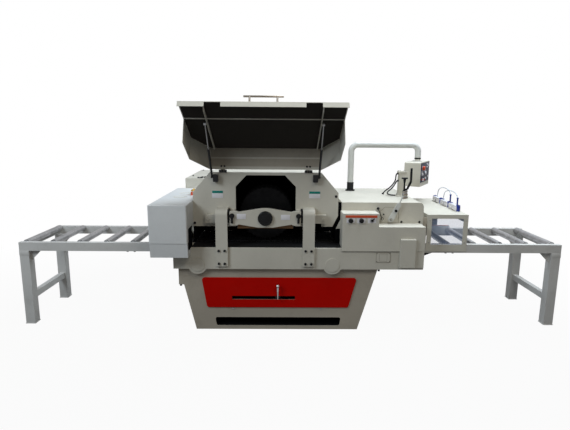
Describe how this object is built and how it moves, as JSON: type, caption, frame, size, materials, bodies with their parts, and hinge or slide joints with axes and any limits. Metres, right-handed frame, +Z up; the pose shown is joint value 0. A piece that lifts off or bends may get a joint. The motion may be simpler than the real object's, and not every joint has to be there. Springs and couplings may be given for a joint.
{
  "type": "multi-rip saw",
  "caption": "Crawler-fed multi-blade rip saw on a sloped base, with an open hood on gas struts, a swivel pendant and infeed and outfeed roller tables.",
  "frame": {"origin": "on the floor under the saw arbor, in the plane of the front plate's front face", "axes": "+Z up, +X along the feed, from the infeed table to the outfeed table, +Y to the machine's back"},
  "size_m": [5.082, 2.4975, 2.1049],
  "materials": {
    "cream_paint": "satin",
    "red_paint": "satin",
    "black_plastic": "satin",
    "black_paint": "satin",
    "chrome": "polished",
    "roller_steel": "polished",
    "steel": "ground",
    "dark_iron": "machined",
    "grey_paint": "satin",
    "red_plastic": "gloss",
    "green_plastic": "gloss",
    "blue_plastic": "gloss",
    "yellow_plastic": "gloss"
  },
  "bodies": {
    "machine": {"air_units": "blue_plastic", "arm_supports": "cream_paint", "base_cabinet": "cream_paint", "base_door": "red_paint", "bearings": "steel", "bed_frame": "cream_paint", "control_cover": "cream_paint", "feed_track": "dark_iron", "front_plate": "cream_paint", "hood_brackets": "black_paint", "left_housing": "cream_paint", "left_table": "grey_paint", "lift_cylinder": "cream_paint", "motors": "grey_paint", "outboard_arm": "cream_paint", "outfeed_guard": "cream_paint", "pendant_post": "black_paint", "rear_cabinet": "cream_paint", "right_housing": "cream_paint", "right_table": "grey_paint", "saw_chamber": "cream_paint"},
    "infeed_drum": {"infeed_drum": "dark_iron"},
    "outfeed_drum": {"outfeed_drum": "dark_iron"},
    "arbor": {"arbor": "steel", "saw_blades": "steel"},
    "motor_pulley": {"motor_pulley": "dark_iron"},
    "infeed_press_roller": {"infeed_press_roller": "steel"},
    "outfeed_press_roller": {"outfeed_press_roller": "steel"},
    "left_roller_1": {"left_roller_1": "roller_steel"},
    "left_roller_2": {"left_roller_2": "roller_steel"},
    "left_roller_3": {"left_roller_3": "roller_steel"},
    "left_roller_4": {"left_roller_4": "roller_steel"},
    "left_roller_5": {"left_roller_5": "roller_steel"},
    "right_roller_1": {"right_roller_1": "roller_steel"},
    "right_roller_2": {"right_roller_2": "roller_steel"},
    "right_roller_3": {"right_roller_3": "roller_steel"},
    "right_roller_4": {"right_roller_4": "roller_steel"},
    "right_roller_5": {"right_roller_5": "roller_steel"},
    "hood": {"hood_shell": "cream_paint"},
    "strut_cylinder_left": {"strut_cylinder_left": "black_paint"},
    "strut_rod_left": {"strut_rod_left": "chrome"},
    "strut_cylinder_right": {"strut_cylinder_right": "black_paint"},
    "strut_rod_right": {"strut_rod_right": "chrome"},
    "bearing_knob": {"bearing_knob": "black_plastic"},
    "clamp_knob_left": {"clamp_knob_left": "black_plastic"},
    "clamp_knob_right": {"clamp_knob_right": "black_plastic"},
    "slot_lever": {"slot_lever": "chrome"},
    "ball_lever": {"ball_lever": "chrome"},
    "link_lever": {"link_lever": "cream_paint"},
    "regulator_knob_left": {"regulator_knob_left": "black_plastic"},
    "regulator_knob_right": {"regulator_knob_right": "black_plastic"},
    "t_handle": {"t_handle": "black_plastic"},
    "pendant_arm": {"pendant_arm": "cream_paint"},
    "pendant_box": {"pendant_box": "cream_paint"},
    "valve_lever": {"valve_lever": "black_plastic"},
    "switch_lever": {"switch_lever": "black_plastic"},
    "cock_lever": {"cock_lever": "yellow_plastic"},
    "estop_button": {"estop_button": "red_plastic"},
    "start_button": {"start_button": "green_plastic"},
    "stop_button": {"stop_button": "red_plastic"}
  },
  "joints": [
    {"name": "infeed_drum_spin", "type": "hinge", "parent": "machine", "child": "infeed_drum", "pos_m": [-0.615, 0, 0.64], "axis": [0, 1, 0], "continuous": true},
    {"name": "outfeed_drum_spin", "type": "hinge", "parent": "machine", "child": "outfeed_drum", "pos_m": [0.61, 0, 0.64], "axis": [0, 1, 0], "continuous": true},
    {"name": "arbor_spin", "type": "hinge", "parent": "machine", "child": "arbor", "pos_m": [0, 0, 1.07], "axis": [0, 1, 0], "continuous": true},
    {"name": "motor_spin", "type": "hinge", "parent": "machine", "child": "motor_pulley", "pos_m": [0, 0.94, 0.42], "axis": [0, 1, 0], "continuous": true},
    {"name": "infeed_press_spin", "type": "hinge", "parent": "machine", "child": "infeed_press_roller", "pos_m": [-0.826, 0.28, 0.905], "axis": [0, 1, 0], "continuous": true},
    {"name": "outfeed_press_spin", "type": "hinge", "parent": "machine", "child": "outfeed_press_roller", "pos_m": [1.08, 0.28, 0.905], "axis": [0, 1, 0], "continuous": true},
    {"name": "left_roller_1_spin", "type": "hinge", "parent": "machine", "child": "left_roller_1", "pos_m": [-2.251, 0.38, 0.785], "axis": [0, 1, 0], "continuous": true},
    {"name": "left_roller_2_spin", "type": "hinge", "parent": "machine", "child": "left_roller_2", "pos_m": [-2.001, 0.38, 0.785], "axis": [0, 1, 0], "continuous": true},
    {"name": "left_roller_3_spin", "type": "hinge", "parent": "machine", "child": "left_roller_3", "pos_m": [-1.751, 0.38, 0.785], "axis": [0, 1, 0], "continuous": true},
    {"name": "left_roller_4_spin", "type": "hinge", "parent": "machine", "child": "left_roller_4", "pos_m": [-1.501, 0.38, 0.785], "axis": [0, 1, 0], "continuous": true},
    {"name": "left_roller_5_spin", "type": "hinge", "parent": "machine", "child": "left_roller_5", "pos_m": [-1.251, 0.38, 0.785], "axis": [0, 1, 0], "continuous": true},
    {"name": "right_roller_1_spin", "type": "hinge", "parent": "machine", "child": "right_roller_1", "pos_m": [1.72, 0.38, 0.785], "axis": [0, 1, 0], "continuous": true},
    {"name": "right_roller_2_spin", "type": "hinge", "parent": "machine", "child": "right_roller_2", "pos_m": [1.97, 0.38, 0.785], "axis": [0, 1, 0], "continuous": true},
    {"name": "right_roller_3_spin", "type": "hinge", "parent": "machine", "child": "right_roller_3", "pos_m": [2.22, 0.38, 0.785], "axis": [0, 1, 0], "continuous": true},
    {"name": "right_roller_4_spin", "type": "hinge", "parent": "machine", "child": "right_roller_4", "pos_m": [2.47, 0.38, 0.785], "axis": [0, 1, 0], "continuous": true},
    {"name": "right_roller_5_spin", "type": "hinge", "parent": "machine", "child": "right_roller_5", "pos_m": [2.72, 0.38, 0.785], "axis": [0, 1, 0], "continuous": true},
    {"name": "hood_swing", "type": "hinge", "parent": "machine", "child": "hood", "pos_m": [0, -0.005, 1.476], "axis": [1, 0, 0], "range_deg": [0, 120]},
    {"name": "strut_left_swing", "type": "hinge", "parent": "machine", "child": "strut_cylinder_left", "pos_m": [-0.484, -0.022, 1.425], "axis": [1, 0, 0], "range_deg": [0, 124.46]},
    {"name": "strut_left_stroke", "type": "slide", "parent": "strut_cylinder_left", "child": "strut_rod_left", "axis": [0, -0.5798, 0.8148], "range_m": [-0.08378, 0]},
    {"name": "strut_right_swing", "type": "hinge", "parent": "machine", "child": "strut_cylinder_right", "pos_m": [0.484, -0.022, 1.425], "axis": [1, 0, 0], "range_deg": [0, 124.46]},
    {"name": "strut_right_stroke", "type": "slide", "parent": "strut_cylinder_right", "child": "strut_rod_right", "axis": [0, -0.5798, 0.8148], "range_m": [-0.08378, 0]},
    {"name": "bearing_knob_turn", "type": "hinge", "parent": "machine", "child": "bearing_knob", "pos_m": [0, -0.16, 1.07], "axis": [0, 1, 0], "range_deg": [-180, 180]},
    {"name": "clamp_left_turn", "type": "hinge", "parent": "machine", "child": "clamp_knob_left", "pos_m": [-0.296, -0.158, 1.092], "axis": [0, 1, 0], "range_deg": [-110, 25]},
    {"name": "clamp_right_turn", "type": "hinge", "parent": "machine", "child": "clamp_knob_right", "pos_m": [0.296, -0.158, 1.092], "axis": [0, 1, 0], "range_deg": [-25, 110]},
    {"name": "slot_lever_slide", "type": "slide", "parent": "machine", "child": "slot_lever", "axis": [1, 0, 0], "range_m": [-0.405, 0.145]},
    {"name": "ball_lever_turn", "type": "hinge", "parent": "machine", "child": "ball_lever", "pos_m": [1.073, -0.03, 1.048], "axis": [0, 1, 0], "range_deg": [-4, 45]},
    {"name": "link_lever_turn", "type": "hinge", "parent": "machine", "child": "link_lever", "pos_m": [1.153, -0.03, 1.042], "axis": [0, 1, 0], "range_deg": [-20, 20]},
    {"name": "regulator_left_turn", "type": "hinge", "parent": "machine", "child": "regulator_knob_left", "pos_m": [0.761, -0.175, 1.057], "axis": [0, 1, 0], "range_deg": [-135, 135]},
    {"name": "regulator_right_turn", "type": "hinge", "parent": "machine", "child": "regulator_knob_right", "pos_m": [0.856, -0.175, 1.057], "axis": [0, 1, 0], "range_deg": [-135, 135]},
    {"name": "t_handle_turn", "type": "hinge", "parent": "machine", "child": "t_handle", "pos_m": [1.338, 0.258, 1.3], "axis": [0, 0, 1], "range_deg": [-90, 90]},
    {"name": "pendant_arm_swing", "type": "hinge", "parent": "machine", "child": "pendant_arm", "pos_m": [0.9, 0.84, 1.25], "axis": [0, 0, 1], "range_deg": [-15, 100]},
    {"name": "pendant_box_turn", "type": "hinge", "parent": "pendant_arm", "child": "pendant_box", "pos_m": [1.625, 0.84, 1.54], "axis": [0, 0, 1], "range_deg": [-90, 90]},
    {"name": "valve_lever_turn", "type": "hinge", "parent": "machine", "child": "valve_lever", "pos_m": [1.364, 0.285, 1.3], "axis": [0, 0, 1], "range_deg": [0, 90]},
    {"name": "switch_turn", "type": "hinge", "parent": "machine", "child": "switch_lever", "pos_m": [0.951, -0.17, 1.057], "axis": [0, 1, 0], "range_deg": [-45, 45]},
    {"name": "cock_turn", "type": "hinge", "parent": "machine", "child": "cock_lever", "pos_m": [-0.735, 0.33, 1.24], "axis": [0, 0, 1], "range_deg": [0, 90]},
    {"name": "estop_press", "type": "slide", "parent": "pendant_box", "child": "estop_button", "axis": [-0.866, 0.5, 0], "range_m": [0, 0.004], "stiffness_N_per_m": 400},
    {"name": "start_press", "type": "slide", "parent": "pendant_box", "child": "start_button", "axis": [-0.866, 0.5, 0], "range_m": [0, 0.004], "stiffness_N_per_m": 400},
    {"name": "stop_press", "type": "slide", "parent": "pendant_box", "child": "stop_button", "axis": [-0.866, 0.5, 0], "range_m": [0, 0.004], "stiffness_N_per_m": 400}
  ],
  "couplings": [
    {"joint": "outfeed_drum_spin", "follows": "infeed_drum_spin", "ratio": 1},
    {"joint": "motor_spin", "follows": "arbor_spin", "ratio": 0.78947},
    {"joint": "strut_left_swing", "follows": "hood_swing", "ratio": 1.0371},
    {"joint": "strut_left_stroke", "follows": "hood_swing", "m_per_rad": -0.039956},
    {"joint": "strut_right_swing", "follows": "hood_swing", "ratio": 1.0371},
    {"joint": "strut_right_stroke", "follows": "hood_swing", "m_per_rad": -0.039956}
  ]
}
